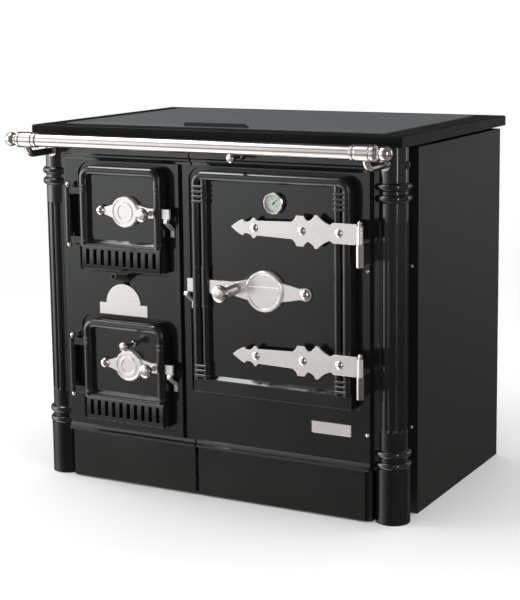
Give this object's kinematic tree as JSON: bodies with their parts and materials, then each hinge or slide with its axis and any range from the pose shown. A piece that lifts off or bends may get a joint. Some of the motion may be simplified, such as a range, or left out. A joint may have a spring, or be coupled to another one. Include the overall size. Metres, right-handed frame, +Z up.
{
  "type": "wood cookstove",
  "caption": "Cast wood cookstove with firebox and ash doors, an oven door with strap hinges, fluted corner columns, a towel rail, plinth drawers and a lift-off hob plate.",
  "frame": {"origin": "on the floor, under the middle of the stove's bounding box", "axes": "+X to the right as seen from the front, +Y to the back, +Z up; the doors face -Y"},
  "size_m": [0.976, 0.771, 0.861],
  "materials": {
    "gloss_enamel": "black gloss enamel on cast iron",
    "top_enamel": "black enamel, a little greyer where light falls on it",
    "satin_panel": "satin black enamelled sheet",
    "hob_iron": "ground satin grey",
    "nickel": "satin nickel plate",
    "rail_nickel": "polished nickel plate",
    "raw_iron": "bare iron, rough",
    "zinc_sheet": "plain galvanised sheet",
    "firebrick": "dry unglazed fireclay",
    "rope": "woven heat-proof rope",
    "dial": "pale satin dial",
    "needle": "dark paint",
    "clear_glass": "flat clear glass"
  },
  "bodies": {
    "stove": {"base_frame": "satin_panel", "side_panel_left": "satin_panel", "side_panel_right": "satin_panel", "back_panel": "satin_panel", "column_left": "gloss_enamel", "column_right": "gloss_enamel", "firebox_casting": "gloss_enamel", "oven_casting": "gloss_enamel", "worktop_frame": "top_enamel", "rail_bar": "rail_nickel", "rail_bracket_left": "rail_nickel", "rail_bracket_right": "rail_nickel", "front_plates": "nickel", "front_screws": "nickel", "firebox_shell": "raw_iron", "firebricks": "firebrick", "ash_pan": "zinc_sheet", "oven_box": "zinc_sheet", "oven_rack": "zinc_sheet", "smoke_baffle": "zinc_sheet", "flue_collar": "raw_iron", "small_hinge_barrels": "gloss_enamel", "small_hinge_pins": "nickel", "oven_hinge_knuckles": "nickel", "oven_hinge_pins": "nickel", "latch_keepers": "nickel"},
    "hob": {"hob_plate": "hob_iron"},
    "damper": {"damper_rod": "nickel", "damper_plate": "raw_iron"},
    "shaker": {"grate": "raw_iron", "shaker_tube": "raw_iron"},
    "drawer_left": {"drawer_front_left": "gloss_enamel", "drawer_tray_left": "zinc_sheet"},
    "drawer_right": {"drawer_front_right": "gloss_enamel", "drawer_tray_right": "zinc_sheet"},
    "firebox_door": {"firebox_door": "gloss_enamel", "firebox_door_shield": "raw_iron", "firebox_door_seal": "rope", "firebox_latch_pivot": "nickel"},
    "firebox_latch": {"firebox_latch_bar": "nickel", "firebox_latch_knob": "nickel"},
    "ash_door": {"ash_door": "gloss_enamel", "ash_door_shield": "raw_iron", "ash_door_seal": "rope", "ash_latch_pivot": "nickel"},
    "ash_latch": {"ash_latch_bar": "nickel", "ash_latch_knob": "nickel"},
    "air_regulator": {"air_regulator": "nickel"},
    "oven_door": {"oven_door": "gloss_enamel", "oven_door_shield": "zinc_sheet", "oven_door_seal": "rope", "oven_strap_hinges": "nickel", "oven_door_rivets": "nickel", "oven_latch_pivot": "nickel", "thermometer_case": "nickel", "thermometer_dial": "dial", "thermometer_glass": "clear_glass"},
    "oven_latch": {"oven_latch_bar": "nickel", "oven_latch_knob": "nickel"},
    "needle": {"thermometer_needle": "needle"}
  },
  "joints": [
    {"name": "firebox_door_hinge", "type": "hinge", "parent": "stove", "child": "firebox_door", "pos_m": [-0.374, -0.2885, 0.64], "axis": [0, 0, -1], "range_deg": [0, 120]},
    {"name": "ash_door_hinge", "type": "hinge", "parent": "stove", "child": "ash_door", "pos_m": [-0.374, -0.2885, 0.279], "axis": [0, 0, -1], "range_deg": [0, 120]},
    {"name": "oven_door_hinge", "type": "hinge", "parent": "stove", "child": "oven_door", "pos_m": [0.3905, -0.31305, 0.5], "axis": [0, 0, 1], "range_deg": [0, 110]},
    {"name": "firebox_latch_lift", "type": "hinge", "parent": "firebox_door", "child": "firebox_latch", "pos_m": [-0.275, -0.2973, 0.6575], "axis": [0, -1, 0], "range_deg": [0, 7]},
    {"name": "ash_latch_lift", "type": "hinge", "parent": "ash_door", "child": "ash_latch", "pos_m": [-0.275, -0.2973, 0.2965], "axis": [0, -1, 0], "range_deg": [0, 7]},
    {"name": "oven_latch_lift", "type": "hinge", "parent": "oven_door", "child": "oven_latch", "pos_m": [0.253, -0.2973, 0.501], "axis": [0, 1, 0], "range_deg": [0, 5]},
    {"name": "thermometer_needle_turn", "type": "hinge", "parent": "oven_door", "child": "needle", "pos_m": [0.1786, -0.3005, 0.6974], "axis": [0, 1, 0], "range_deg": [-150, 90]},
    {"name": "air_regulator_pull", "type": "slide", "parent": "ash_door", "child": "air_regulator", "axis": [0, -1, 0], "range_m": [0, 0.018]},
    {"name": "damper_pull", "type": "slide", "parent": "stove", "child": "damper", "axis": [0, -1, 0], "range_m": [0, 0.08]},
    {"name": "grate_shake", "type": "slide", "parent": "stove", "child": "shaker", "axis": [0, -1, 0], "range_m": [0, 0.02]},
    {"name": "drawer_left_slide", "type": "slide", "parent": "stove", "child": "drawer_left", "axis": [0, -1, 0], "range_m": [0, 0.3]},
    {"name": "drawer_right_slide", "type": "slide", "parent": "stove", "child": "drawer_right", "axis": [0, -1, 0], "range_m": [0, 0.3]},
    {"name": "hob_lift", "type": "slide", "parent": "stove", "child": "hob", "axis": [0, 0, 1], "range_m": [0, 0.06]}
  ]
}
